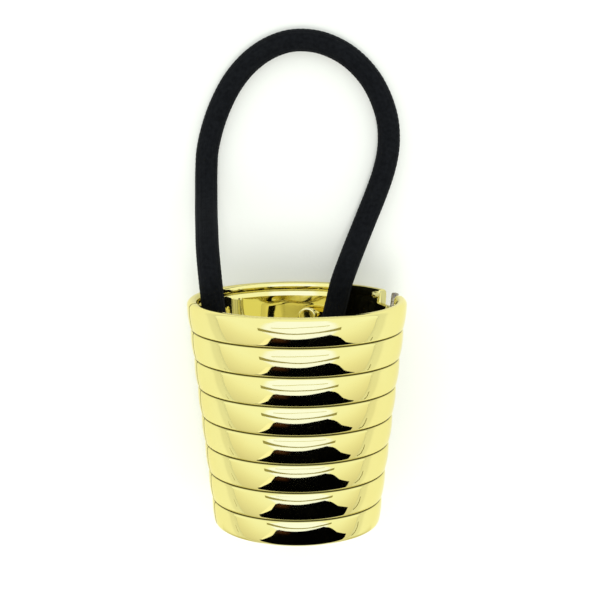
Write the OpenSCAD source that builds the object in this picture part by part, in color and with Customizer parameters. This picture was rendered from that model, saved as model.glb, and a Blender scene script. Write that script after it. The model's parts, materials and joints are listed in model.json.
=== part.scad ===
// Ponytail cuff: a ribbed, tapered metal cuff in two hinged halves with a loop of round elastic.
// It lies on its side as it would on a table. +Z is up and the wide mouth faces +Y.
// The origin is on the table under the middle of the metal cuff.

/* [Cuff] */
// Length of the cuff along its own axis
cuff_l = 38.6; // [36:0.2:42]
// Diameter over the rib crests at the mouth
mouth_d = 36.8; // [36:0.2:40]
// Diameter over the rib crests at the narrow end
narrow_d = 28; // [27:0.2:31]
// Number of ribs
rib_n = 8; // [6:1:10]
// Height of a rib above the grooves beside it
rib_h = 0.4; // [0.2:0.05:0.6]
// Wall thickness under a groove
wall = 1.4; // [1.2:0.05:1.6]

/* [Halves] */
// Turn of the plane that splits the cuff, from the widest line towards the back on the hinge side
split_turn = 16; // [10:1:22]
// Gap between the halves where they close
seam_gap = 0.2; // [0.1:0.05:0.3]
// Open gap at the mouth, from the hinge pin's middle to the end of the back half
window_w = 4.7; // [4:0.1:6]

/* [Hinge] */
// Diameter of the hinge pin
pin_d = 1.2; // [1:0.1:1.3]
// Clearance all round the pin in its knuckles
pin_fit = 0.05; // [0.03:0.01:0.1]
// How far the pin stands past the mouth
pin_proud = 0.1; // [0:0.1:1]
// Bevel round each end of the pin
pin_bevel = 0.2; // [0.1:0.05:0.3]
// Outer diameter of a knuckle
knuckle_d = 2.3; // [2.1:0.1:2.6]
// Gap between one knuckle and the next, and from a knuckle to the other half
knuckle_gap = 0.3; // [0.2:0.05:0.5]
// Thickness of the soldered hinge leaf above the back half's inner wall
leaf_t = 0.7; // [0.5:0.1:1]
// Width of the leaf's seat on the back half
leaf_seat = 3; // [2:0.2:4]
// Distance from the mouth to the leaf
leaf_drop = 2.2; // [1.5:0.1:4]
// Distance from the narrow end to the leaf
leaf_foot = 3; // [1.5:0.1:5]

/* [Catch] */
// Length of the catch tongue along the seam
tongue_l = 11; // [8:0.5:13]
// Width of the tongue, half of it on each side of the seam
tongue_w = 6; // [4:0.5:8]
// Thickness of the tongue
tongue_t = 0.8; // [0.5:0.1:1.2]
// Distance from the narrow end to the tongue
tongue_foot = 11; // [6:0.5:12]

/* [Elastic holder] */
// Diameter of the post's shank
post_d = 1.8; // [1.4:0.1:2]
// Diameter of the post's head
head_d = 3.1; // [2.4:0.1:3.2]
// Thickness of the head
head_t = 0.8; // [0.6:0.1:1.2]
// Height of the post from the inner wall
post_h = 4.6; // [3:0.1:5]
// Distance from the mouth to the post's middle
post_drop = 5.7; // [5:0.1:7]
// Turn of the post from the lowest line towards the hinge
post_turn = 8.5; // [6:0.5:9]
// Length of the sleeve that grips both ends of the elastic
sleeve_l = 5; // [4:0.5:6]
// Wall thickness of the sleeve
sleeve_t = 0.6; // [0.4:0.05:0.8]
// Distance from the mouth to the sleeve's middle
sleeve_drop = 12.8; // [12:0.1:14]
// Turn of the sleeve from the lowest line towards the catch
sleeve_turn = 24; // [20:1:28]
// Gap between the inner wall and what is seated on it
seat_gap = 0.1; // [0.05:0.05:0.2]

/* [Elastic] */
// Diameter of the round elastic
cord_d = 4; // [3.6:0.1:4.4]

/* [Hidden] */

$fn = 96;
slack = 1; // how far a cutter runs past what it cuts

// The cone: half its angle is also how far the axis rises when the cuff lies on its side
lean = atan((mouth_d - narrow_d) / 2 / cuff_l);
function crest_r(z) = narrow_d / 2 + z * tan(lean);
function groove_r(z) = crest_r(z) - rib_h / cos(lean);
function bore_r(z) = groove_r(z) - wall / cos(lean);

// The ribs: equal arcs between grooves, each rising rib_h above the line of the grooves
rib_pitch = cuff_l / rib_n;
rib_chord = rib_pitch / cos(lean);
rib_arc_r = (pow(rib_chord / 2, 2) + pow(rib_h, 2)) / (2 * rib_h);

// The hinge: its pin runs along the middle of the wall, in the plane that splits the cuff
pin_r0 = bore_r(0) + wall / 2 / cos(lean);
function pin_r(z) = pin_r0 + z * tan(lean);
knuckle_room = knuckle_d / 2 + knuckle_gap;
front_end = split_turn - asin(knuckle_room / pin_r0);
back_end = split_turn + window_w / pin_r(cuff_l) * 180 / PI;
leaf_top = cuff_l - leaf_drop;
knuckle_l = (leaf_top - leaf_foot - 2 * knuckle_gap) / 3;
arm_l = knuckle_room * pin_r(cuff_l) / pin_r0 + wall;

// The catch seam is straight across from the hinge pin
seam = 180 + split_turn;
half_seam = seam_gap / 2 / groove_r(cuff_l) * 180 / PI;
tongue_half = tongue_w / 2 / bore_r(tongue_foot) * 180 / PI;

// Directions round the cuff's own axis: 0 is the hinge side and 90 is the table
table_side = 90;

// Where the sleeve's middle line runs, just clear of the inner wall
sleeve_z = cuff_l - sleeve_drop;
sleeve_r = bore_r(sleeve_z) - (cord_d / 2 + sleeve_t + seat_gap) / cos(lean);
sleeve_half = sleeve_l / 2 / sleeve_r * 180 / PI;

// Lying on its side: the crests touch the table and the box round the metal is centred over the origin
lie_y = -(cuff_l * cos(lean) + (groove_r(cuff_l) - groove_r(0)) * sin(lean)) / 2;
lie_z = narrow_d / 2 * cos(lean);

// Route of the elastic's middle line, as [x, y, z] on the table, from the sleeve round the loop and back
cord_sides = 10;
cord_route = [
    [-5.6, 7.5, 5.4], [-8.3, 7.5, 7.4], [-10.6, 8.3, 9.4], [-12.3, 10.2, 11.9], [-13.3, 13.1, 14.4],
    [-13.9, 16.6, 16], [-14.3, 20.4, 16.6], [-14.7, 24, 16], [-15.1, 27.3, 14], [-15.4, 30.2, 10.9],
    [-15.7, 33, 7.4], [-15.9, 36.2, 4.3], [-16, 40, 2.5], [-15.8, 44, 2.1], [-14.9, 48, 2.1],
    [-13.5, 51.9, 2.1], [-11.4, 55.9, 2.1], [-8.6, 59.3, 2.1], [-5.2, 61.8, 2.1], [-1.3, 63.2, 2.1],
    [2.8, 63.2, 2.1], [6.6, 62, 2.1], [10, 59.8, 2.1], [12.9, 56.6, 2.1], [14.9, 52.8, 2.1],
    [16, 48.8, 2.1], [16.1, 44.6, 2.1], [15.3, 40.5, 2.1], [13.9, 36.4, 2.1], [12.3, 32.4, 2.2],
    [10.7, 28.5, 3], [9.1, 24.6, 4.7], [7.7, 20.8, 6.1], [6.8, 17, 5.8], [5.8, 13.4, 5.3],
    [4, 10.5, 4.7], [1.3, 8.6, 4.2], [-1.8, 7.6, 4.3], [-4.6, 7.4, 5]];

// Puts a piece built upright on the cuff's own axis into its place on the table
module lying() {
    translate([0, lie_y, lie_z]) rotate([lean - 90, 0, 0]) children();
}

// Puts a piece on the hinge pin's line, at a distance along it from the narrow end
module on_pin(along = 0) {
    rotate([0, 0, split_turn]) translate([pin_r0, 0, 0]) rotate([0, lean, 0])
        translate([0, 0, along]) children();
}

// Section of the ribbed wall, as radius across and height up the axis
module wall_section() {
    inset = rib_arc_r - rib_h;
    difference() {
        intersection() {
            union() for (i = [0:rib_n - 1]) {
                middle = (i + 0.5) * rib_pitch;
                translate([groove_r(middle) - inset * cos(lean), middle + inset * sin(lean)])
                    circle(r = rib_arc_r);
            }
            square([mouth_d, cuff_l]);
        }
        polygon([[0, -slack], [bore_r(-slack), -slack], [bore_r(cuff_l + slack), cuff_l + slack],
                 [0, cuff_l + slack]]);
    }
}

// Part of the ribbed wall between two directions round the axis
module wall_arc(from, to) {
    rotate([0, 0, from]) rotate_extrude(angle = to - from) wall_section();
}

// Curved plate that follows the inner wall, from inner to outer, measured from the wall towards the axis
module lining(from, to, low, high, inner, outer) {
    rotate([0, 0, from]) rotate_extrude(angle = to - from)
        polygon([[bore_r(low) - inner, low], [bore_r(low) - outer, low],
                 [bore_r(high) - outer, high], [bore_r(high) - inner, high]]);
}

// Knuckle number i, counted from the narrow end
module knuckle(i) {
    on_pin((leaf_foot + i * (knuckle_l + knuckle_gap)) / cos(lean))
        cylinder(d = knuckle_d, h = knuckle_l / cos(lean));
}

// Hole for the pin through every knuckle
module pin_hole() {
    on_pin(-slack) cylinder(d = pin_d + 2 * pin_fit, h = cuff_l / cos(lean) + 2 * slack);
}

// Leaf of the hinge, cut away where the front half's knuckle turns
module hinge_leaf() {
    bite = wall / 3; // how deep the leaf is sunk into the solder
    leaf_near = asin((knuckle_room + knuckle_gap) / pin_r0);
    leaf_far = back_end + leaf_seat / bore_r(cuff_l) * 180 / PI;
    difference() {
        lining(split_turn, leaf_far, leaf_foot, leaf_top, leaf_t, -bite);
        rotate([0, 0, split_turn - leaf_near]) rotate_extrude(angle = 2 * leaf_near)
            translate([bore_r(0) / 2, leaf_foot + knuckle_l]) square([mouth_d, knuckle_l + 2 * knuckle_gap]);
    }
}

module back_half() {
    color("gold") lying() difference() {
        union() {
            wall_arc(back_end, seam - half_seam);
            hinge_leaf();
            knuckle(0);
            knuckle(2);
        }
        pin_hole();
    }
}

module front_half() {
    color("gold") lying() difference() {
        union() {
            wall_arc(seam + half_seam, front_end + 360);
            on_pin((leaf_foot + knuckle_l + knuckle_gap) / cos(lean))
                translate([-wall / 2, -arm_l, 0]) cube([wall, arm_l, knuckle_l / cos(lean)]);
            knuckle(1);
        }
        pin_hole();
    }
}

module hinge_pin() {
    low = leaf_foot / cos(lean) - knuckle_gap;
    top = cuff_l / cos(lean) + pin_proud;
    tip_r = pin_d / 2 - pin_bevel;
    color("silver") lying() on_pin() rotate_extrude()
        polygon([[0, low], [tip_r, low], [pin_d / 2, low + pin_bevel], [pin_d / 2, top - pin_bevel],
                 [tip_r, top], [0, top]]);
}

module snap_tongue() {
    color("gold") lying()
        lining(seam - tongue_half, seam + tongue_half, tongue_foot, tongue_foot + tongue_l,
               seat_gap + tongue_t, seat_gap);
}

module elastic_post() {
    height = cuff_l - post_drop;
    color("gold") lying() rotate([0, 0, table_side - post_turn]) translate([bore_r(height), 0, height])
        rotate([0, lean, 0]) translate([-seat_gap, 0, 0]) rotate([0, -90, 0]) {
            cylinder(d = post_d, h = post_h);
            translate([0, 0, post_h - head_t]) cylinder(d = head_d, h = head_t);
        }
}

module elastic_sleeve() {
    color("gold") lying() translate([0, 0, sleeve_z])
        rotate([0, 0, table_side + sleeve_turn - sleeve_half])
        rotate_extrude(angle = 2 * sleeve_half) translate([sleeve_r, 0]) difference() {
            circle(d = cord_d + 2 * sleeve_t);
            circle(d = cord_d);
        }
}

// One ring of the elastic's tube, square to the route at point i
function unit(v) = v / norm(v);
function heading(i) = let (last = len(cord_route) - 1)
    unit(cord_route[min(i + 1, last)] - cord_route[max(i - 1, 0)]);
function ring(i) = let (along = heading(i), side = unit(cross(along, [0, 0, 1])), top = cross(side, along))
    [for (j = [0:cord_sides - 1]) let (turn = 360 * j / cord_sides)
        cord_route[i] + cord_d / 2 * (cos(turn) * side + sin(turn) * top)];

module elastic_cord() {
    rings = len(cord_route);
    skin = [for (i = [0:rings - 2]) for (j = [0:cord_sides - 1])
        let (k = (j + 1) % cord_sides, a = i * cord_sides, b = a + cord_sides)
        each [[a + j, b + j, b + k], [a + j, b + k, a + k]]];
    start = [for (j = [0:cord_sides - 1]) j];
    finish = [for (j = [cord_sides - 1:-1:0]) (rings - 1) * cord_sides + j];
    color("black") polyhedron(points = [for (i = [0:rings - 1]) each ring(i)], faces = concat([start, finish], skin));
}

back_half();
front_half();
hinge_pin();
snap_tongue();
elastic_post();
elastic_sleeve();
elastic_cord();
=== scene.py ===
"""Looks of a ponytail cuff: two ribbed gold halves on a hinge, holding a loop of black round elastic.

Lengths are in metres and turns in degrees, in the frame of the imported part: +Z is up from the table
and the cuff's wide mouth looks towards +Y. Turns go round the cuff's own axis, from the hinge side
at 0 through the table at 90.
"""
import json
import logging
import math
from collections.abc import Callable, Sequence
from dataclasses import dataclass, field
from enum import Enum

import bmesh
import bpy
import numpy as np
from mathutils import Matrix, Vector
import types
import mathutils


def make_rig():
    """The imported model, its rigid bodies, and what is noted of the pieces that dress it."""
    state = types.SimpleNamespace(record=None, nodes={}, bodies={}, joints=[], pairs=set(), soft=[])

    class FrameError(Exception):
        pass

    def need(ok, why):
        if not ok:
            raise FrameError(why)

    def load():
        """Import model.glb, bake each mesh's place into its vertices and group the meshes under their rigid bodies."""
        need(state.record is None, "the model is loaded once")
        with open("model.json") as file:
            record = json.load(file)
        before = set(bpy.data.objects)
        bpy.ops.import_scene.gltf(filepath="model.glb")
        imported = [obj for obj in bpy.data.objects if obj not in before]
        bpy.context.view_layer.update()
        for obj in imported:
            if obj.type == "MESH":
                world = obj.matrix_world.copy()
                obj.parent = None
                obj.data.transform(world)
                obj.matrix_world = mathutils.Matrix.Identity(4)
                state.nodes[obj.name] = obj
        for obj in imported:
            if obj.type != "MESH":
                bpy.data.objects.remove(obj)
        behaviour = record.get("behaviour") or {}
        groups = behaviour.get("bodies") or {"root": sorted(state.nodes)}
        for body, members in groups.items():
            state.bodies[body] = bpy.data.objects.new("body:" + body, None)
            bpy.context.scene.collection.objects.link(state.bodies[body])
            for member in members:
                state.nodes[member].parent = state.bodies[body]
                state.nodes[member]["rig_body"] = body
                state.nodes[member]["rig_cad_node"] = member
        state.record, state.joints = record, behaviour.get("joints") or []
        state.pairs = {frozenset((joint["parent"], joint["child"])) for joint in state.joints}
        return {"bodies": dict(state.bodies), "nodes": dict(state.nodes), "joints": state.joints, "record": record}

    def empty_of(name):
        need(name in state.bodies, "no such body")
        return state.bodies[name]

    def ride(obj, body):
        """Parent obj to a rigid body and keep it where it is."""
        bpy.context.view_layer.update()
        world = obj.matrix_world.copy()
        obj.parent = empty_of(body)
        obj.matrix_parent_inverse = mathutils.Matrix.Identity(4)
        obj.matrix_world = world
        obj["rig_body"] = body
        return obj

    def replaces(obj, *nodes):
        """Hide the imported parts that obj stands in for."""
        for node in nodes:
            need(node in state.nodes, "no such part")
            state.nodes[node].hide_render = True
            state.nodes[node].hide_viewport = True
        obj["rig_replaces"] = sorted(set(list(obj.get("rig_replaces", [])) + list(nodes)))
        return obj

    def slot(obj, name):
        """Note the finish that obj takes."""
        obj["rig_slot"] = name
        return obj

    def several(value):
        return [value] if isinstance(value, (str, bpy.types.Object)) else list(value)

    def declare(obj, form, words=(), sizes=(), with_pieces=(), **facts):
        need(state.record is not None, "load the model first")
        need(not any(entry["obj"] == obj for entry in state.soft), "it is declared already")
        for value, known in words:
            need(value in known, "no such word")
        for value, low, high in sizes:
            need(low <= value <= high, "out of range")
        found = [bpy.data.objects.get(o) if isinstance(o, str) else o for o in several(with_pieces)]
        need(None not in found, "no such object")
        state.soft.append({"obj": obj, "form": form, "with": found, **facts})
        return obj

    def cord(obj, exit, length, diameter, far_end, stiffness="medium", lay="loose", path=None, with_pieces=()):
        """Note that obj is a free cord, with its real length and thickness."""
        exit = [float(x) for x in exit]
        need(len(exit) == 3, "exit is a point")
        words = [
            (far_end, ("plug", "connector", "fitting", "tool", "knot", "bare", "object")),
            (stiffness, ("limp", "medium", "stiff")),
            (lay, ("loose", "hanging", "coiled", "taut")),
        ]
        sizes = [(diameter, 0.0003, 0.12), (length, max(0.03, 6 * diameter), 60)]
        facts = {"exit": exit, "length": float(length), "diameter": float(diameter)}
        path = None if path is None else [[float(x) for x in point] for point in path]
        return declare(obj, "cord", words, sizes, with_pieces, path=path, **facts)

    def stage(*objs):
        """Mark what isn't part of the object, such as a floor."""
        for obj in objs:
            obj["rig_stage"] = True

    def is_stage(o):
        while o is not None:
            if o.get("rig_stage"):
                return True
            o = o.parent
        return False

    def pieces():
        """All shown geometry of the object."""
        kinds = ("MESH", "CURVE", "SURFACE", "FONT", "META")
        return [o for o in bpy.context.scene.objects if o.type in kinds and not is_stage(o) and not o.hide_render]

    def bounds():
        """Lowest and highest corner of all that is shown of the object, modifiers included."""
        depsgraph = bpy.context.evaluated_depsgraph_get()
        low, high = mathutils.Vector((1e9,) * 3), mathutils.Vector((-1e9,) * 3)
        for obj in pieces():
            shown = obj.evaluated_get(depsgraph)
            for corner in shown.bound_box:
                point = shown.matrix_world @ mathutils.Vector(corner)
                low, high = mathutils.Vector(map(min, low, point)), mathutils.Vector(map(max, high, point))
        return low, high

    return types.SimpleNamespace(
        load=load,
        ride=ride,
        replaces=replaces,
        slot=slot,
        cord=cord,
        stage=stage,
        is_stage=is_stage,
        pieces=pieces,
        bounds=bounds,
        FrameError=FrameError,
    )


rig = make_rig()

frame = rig.load()
cad_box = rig.bounds()

SIZE_FILE = "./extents.json"
# Value at each point of a mesh: how much painted shade darkens the gold there, or how far a card has faded out.
SHADE_AND_FADE = "tarnish"
log = logging.getLogger("ponytail_cuff")

Colour = tuple[float, float, float, float]
Point = tuple[float, float, float]
Outline = list[tuple[float, float]]
Socket = bpy.types.NodeSocket


class Body(Enum):
    """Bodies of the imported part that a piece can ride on."""

    BACK = "back"
    FRONT = "front"


class Slot(Enum):
    """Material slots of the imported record."""

    GOLD = "gold_plate"
    STEEL = "steel"
    ELASTIC = "elastic"


class Join(Enum):
    """Ways to join one solid with another."""

    FUSE = "UNION"
    CUT = "DIFFERENCE"


@dataclass
class Form:
    """Points and faces of a mesh in the making, and each point's painted shade on gold, or fade on a card, from 0 to
    1.
    """

    points: np.ndarray
    faces: list[tuple[int, ...]]
    tarnish: np.ndarray | None = None

    def placed(self, place: Matrix) -> "Form":
        """Returns the form moved by a matrix."""
        turn = np.array(place.to_3x3())
        return Form(self.points @ turn.T + np.array(place.translation), self.faces, self.tarnish)

    def bent(self, bend: Callable[[np.ndarray], np.ndarray]) -> "Form":
        """Returns the form with every point sent through a function of all points."""
        return Form(bend(self.points), self.faces, self.tarnish)


def grid_faces(
    rows: int, columns: int, close_rows: bool = False, close_columns: bool = False
) -> list[tuple[int, ...]]:
    """Joins a grid of points into four-sided faces.

    Args:
        rows: Number of rows, each of which holds its points one after the other.
        columns: Number of points in a row.
        close_rows: Whether the last row meets the first.
        close_columns: Whether the last point of a row meets its first.

    Returns:
        The faces, as indices of the grid's points.
    """
    faces = []
    for i in range(rows if close_rows else rows - 1):
        low, high = i * columns, ((i + 1) % rows) * columns
        for j in range(columns if close_columns else columns - 1):
            k = (j + 1) % columns
            faces.append((low + j, high + j, high + k, low + k))
    return faces


def arc(centre: tuple[float, float], radius: float, start: float, stop: float, steps: int) -> Outline:
    """Points along an arc.

    Args:
        centre: Middle of the arc.
        radius: Its radius.
        start: First angle in degrees, from the first axis towards the second.
        stop: Last angle in degrees.
        steps: Number of straight steps.

    Returns:
        steps + 1 points, with both ends.
    """
    angles = np.radians(np.linspace(start, stop, steps + 1))
    return [(centre[0] + radius * math.cos(a), centre[1] + radius * math.sin(a)) for a in angles]


def turned(outline: Outline, sides: int) -> Form:
    """Turns an outline of (radius, height) points round the height axis.

    Args:
        outline: The points. One that starts and ends on the axis makes a solid bar, any other a ring.
        sides: Number of sides round the axis.

    Returns:
        The closed form.
    """
    near_axis = 1e-9
    solid = outline[0][0] < near_axis and outline[-1][0] < near_axis
    rings = outline[1:-1] if solid else outline
    angles = np.linspace(0, 2 * math.pi, sides, endpoint=False)
    points = [(r * math.cos(a), r * math.sin(a), h) for r, h in rings for a in angles]
    faces = grid_faces(len(rings), sides, close_rows=not solid, close_columns=True)
    if solid:
        last = (len(rings) - 1) * sides
        points += [(0, 0, outline[0][1]), (0, 0, outline[-1][1])]
        for j in range(sides):
            k = (j + 1) % sides
            faces.append((len(points) - 2, j, k))
            faces.append((len(points) - 1, last + k, last + j))
    return Form(np.array(points), faces)


def rounded_bar(radius: float, low: float, high: float, rounding: float) -> Outline:
    """Outline of a round bar with rounded edges.

    Args:
        radius: Radius of the bar.
        low: Height of the lower end.
        high: Height of the upper end.
        rounding: Radius of the edges.

    Returns:
        The outline for turned(), from the axis to the axis.
    """
    steps = 5
    flank = radius - rounding
    outline = [(0.0, low)]
    outline += arc((flank, low + rounding), rounding, -90, 0, steps)
    outline += arc((flank, high - rounding), rounding, 0, 90, steps)
    outline.append((0.0, high))
    return outline


def make_piece(name: str, form: Form) -> bpy.types.Object:
    """Makes a mesh object from a form, with its faces turned outwards.

    Args:
        name: Name of the piece.
        form: Its points and faces.

    Returns:
        The new object, in the scene.
    """
    mesh = bpy.data.meshes.new(name)
    mesh.from_pydata(form.points.tolist(), [], form.faces)
    work = bmesh.new()
    work.from_mesh(mesh)
    bmesh.ops.recalc_face_normals(work, faces=work.faces)
    work.to_mesh(mesh)
    work.free()
    if form.tarnish is not None:
        mesh.attributes.new(SHADE_AND_FADE, "FLOAT", "POINT").data.foreach_set("value", form.tarnish)
    piece = bpy.data.objects.new(name, mesh)
    bpy.context.scene.collection.objects.link(piece)
    return piece


def apply_modifiers(piece: bpy.types.Object) -> None:
    """Makes a piece's modifiers part of its mesh.

    Args:
        piece: The piece that changes.
    """
    shown = piece.evaluated_get(bpy.context.evaluated_depsgraph_get())
    mesh = bpy.data.meshes.new_from_object(shown)
    piece.modifiers.clear()
    piece.data = mesh
    mesh.name = piece.name


def join(piece: bpy.types.Object, other: bpy.types.Object, how: Join) -> None:
    """Fuses another solid to a piece or cuts it away, and uses the other up.

    Args:
        piece: The piece that changes.
        other: The solid that is fused or cut away.
        how: Which of the two.
    """
    step = piece.modifiers.new(how.name, "BOOLEAN")
    step.operation = how.value
    step.solver = "EXACT"
    step.object = other
    apply_modifiers(piece)
    bpy.data.objects.remove(other)


def ease_edges(piece: bpy.types.Object, width: float) -> None:
    """Rounds a piece's sharp edges, as tumbling and polishing do.

    Args:
        piece: The piece that changes.
        width: Width that the rounding takes from each side of an edge.
    """
    segments, sharp_deg = 3, 40
    step = piece.modifiers.new("ease", "BEVEL")
    step.width = width
    step.segments = segments
    step.limit_method = "ANGLE"
    step.angle_limit = math.radians(sharp_deg)
    apply_modifiers(piece)


def smooth(piece: bpy.types.Object, sharp_deg: float = 38) -> None:
    """Shades a piece smooth, apart from edges that turn more than sharp_deg."""
    piece.data.shade_smooth()
    piece.data.set_sharp_from_angle(angle=math.radians(sharp_deg))


@dataclass(frozen=True)
class CuffShape:
    """Sizes of the cuff's wall and its place on the table."""

    length: float = 0.0386
    mouth_d: float = 0.0368
    narrow_d: float = 0.028
    rib_count: int = 8
    rib_height: float = 0.0004
    wall: float = 0.0014
    valley_depth: float = 0.00049
    valley_rounding: float = 0.00004
    shoulder_r: float = 0.00062
    shoulder_end: float = 65
    split_turn: float = 16
    seam_gap: float = 0.0002
    window_width: float = 0.0047
    mouth_rounding: float = 0.00075
    foot_rounding: float = 0.0011
    foot_dip: float = 0.0002
    bore_rounding: float = 0.00035
    lip_rounding: float = 0.0006
    lip_width: float = 0.0006
    lip_groove: float = 0.0004
    lip_depth: float = 0.0002
    rim_steps: int = 8

    @property
    def lean(self) -> float:
        """Half the cone's angle, in radians."""
        return math.atan((self.mouth_d - self.narrow_d) / 2 / self.length)

    def crest(self, z: float) -> float:
        """Radius over the rib crests at a height along the axis."""
        return self.narrow_d / 2 + z * math.tan(self.lean)

    def groove(self, z: float) -> float:
        """Radius at the bottom of the grooves."""
        return self.crest(z) - self.rib_height / math.cos(self.lean)

    def bore(self, z: float) -> float:
        """Radius of the smooth inner wall."""
        return self.groove(z) - self.wall / math.cos(self.lean)

    def pin_line(self, z: float) -> float:
        """Radius of the hinge pin's middle line, along the middle of the wall."""
        return self.bore(z) + self.wall / 2 / math.cos(self.lean)

    @property
    def lying(self) -> Matrix:
        """Lays what is built upright on the cuff's axis on the table.

        Returns:
            The matrix, with the lowest crests on the table and the cuff's middle over the origin.
        """
        spread = self.groove(self.length) - self.groove(0)
        back = -(self.length * math.cos(self.lean) + spread * math.sin(self.lean)) / 2
        up = self.narrow_d / 2 * math.cos(self.lean)
        return Matrix.Translation((0, back, up)) @ Matrix.Rotation(self.lean - math.pi / 2, 4, "X")

    def on_pin(self, along: float = 0) -> Matrix:
        """Puts a piece on the hinge pin's line.

        Args:
            along: Distance along the line from the narrow end.

        Returns:
            The matrix for a piece that is built upright at the origin.
        """
        turn = Matrix.Rotation(math.radians(self.split_turn), 4, "Z")
        tilt = Matrix.Rotation(self.lean, 4, "Y")
        out = Matrix.Translation((self.pin_line(0), 0, 0))
        return self.lying @ turn @ out @ tilt @ Matrix.Translation((0, 0, along))

    @property
    def rib_chord(self) -> float:
        """Width of one rib, along the slanted wall."""
        return self.length / self.rib_count / math.cos(self.lean)

    def crown(self) -> tuple[float, float]:
        """Works out the arc between a rib's two shoulders.

        Returns:
            The radius of the shallow crown, and the angle in degrees from its middle to each shoulder.
        """
        edge = math.radians(self.shoulder_end)
        across = self.rib_chord / 2 - self.shoulder_r * math.sin(edge)
        down = self.shoulder_r * (1 - math.cos(edge)) - self.valley_depth
        between = -(across**2 + down**2) / (2 * down)
        return between + self.shoulder_r, math.degrees(math.asin(across / between))

    def section(self, lip_depth: float) -> Outline:
        """Section of the ribbed wall as (radius, height) points, up the ribs and down the bore.

        Args:
            lip_depth: Depth of the groove behind the mouth's lip, or 0 where the groove has run out.

        Returns:
            A closed outline: rounded rims, ribs with a shallow crown and round shoulders, and a fine
            fillet in each groove.
        """
        crown_steps, shoulder_steps, valley_steps = 10, 12, 4
        out = -math.degrees(self.lean)
        crown_r, edge = self.crown()
        shoulder, fillet = self.shoulder_r, self.valley_rounding
        middles = [(i + 0.5) * self.length / self.rib_count for i in range(self.rib_count)]
        hubs = [self._step((self.crest(middle), middle), -crown_r, out) for middle in middles]
        across = shoulder * math.sin(math.radians(self.shoulder_end))
        reach = math.degrees(math.asin(across / (shoulder + fillet)))
        foot_z = self.foot_dip + self.foot_rounding
        mouth_z = self.length - self.mouth_rounding
        foot_ball, foot_angle = self._rim_ball(hubs[0], self.foot_rounding, foot_z)
        mouth_ball, mouth_angle = self._rim_ball(hubs[-1], self.mouth_rounding, mouth_z)
        outline = arc(foot_ball, self.foot_rounding, -90, foot_angle, self.rim_steps)
        for i, hub in enumerate(hubs):
            first, last = out - edge, out + edge
            if i == 0:
                first = foot_angle
            else:
                low = self._step(hub, crown_r - shoulder, first)
                outline += arc(low, shoulder, out - reach, first, shoulder_steps)
            if i == self.rib_count - 1:
                last = mouth_angle
            outline += arc(hub, crown_r, first, last, crown_steps)[1:-1]
            if i < self.rib_count - 1:
                high = self._step(hub, crown_r - shoulder, last)
                outline += arc(high, shoulder, last, out + reach, shoulder_steps)[:-1]
                heart = self._step(high, shoulder + fillet, out + reach)
                outline += arc(heart, fillet, 180 + out + reach, 180 + out - reach, valley_steps)[:-1]
        outline += arc(mouth_ball, self.mouth_rounding, mouth_angle, 90, self.rim_steps)
        return outline + self._bore_outline(lip_depth)

    def _bore_outline(self, lip_depth: float) -> Outline:
        """Outline of the inner wall from the mouth to the narrow end.

        Args:
            lip_depth: Depth of the groove behind the mouth's lip.

        Returns:
            The outline, with both rounded edges.
        """
        bore_steps, out = 50, -math.degrees(self.lean)
        top_r, foot_r = self.lip_rounding, self.bore_rounding
        high, low = self.length - top_r, self.foot_dip + foot_r
        top_ball = (self.bore(high) + top_r / math.cos(self.lean), high)
        foot_ball = (self.bore(low) + foot_r / math.cos(self.lean), low)
        top = arc(top_ball, top_r, 90, 180 + out, self.rim_steps)
        foot = arc(foot_ball, foot_r, 180 + out, 270, self.rim_steps)
        shares = np.linspace(0, 1, self.rim_steps + 1)
        heights = high - self.lip_width - shares * self.lip_groove
        dents = lip_depth * (1 - np.cos(shares * 2 * math.pi)) / 2
        groove = [(self.bore(z) + dent, float(z)) for z, dent in zip(heights, dents)]
        start, stop = np.array(groove[-1]), np.array(foot[0])
        between = np.linspace(0, 1, bore_steps + 1)[1:-1]
        wall = [tuple(start + share * (stop - start)) for share in between]
        return top + groove + wall + foot

    def _step(self, start: tuple[float, float], distance: float, angle: float) -> tuple[float, float]:
        """Point at a distance from another, at an angle in degrees."""
        turn = math.radians(angle)
        return start[0] + distance * math.cos(turn), start[1] + distance * math.sin(turn)

    def _rim_ball(
        self, hub: tuple[float, float], radius: float, height: float
    ) -> tuple[tuple[float, float], float]:
        """Finds the rounding between an end rib's crown and its rim.

        Args:
            hub: Middle of the crown's arc.
            radius: Radius of the rounding.
            height: Height of the rounding's middle.

        Returns:
            The rounding's middle, and the angle in degrees where it meets the crown.
        """
        up = height - hub[1]
        over = math.sqrt((self.crown()[0] - radius) ** 2 - up**2)
        return (hub[0] + over, height), math.degrees(math.atan2(up, over))


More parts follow.
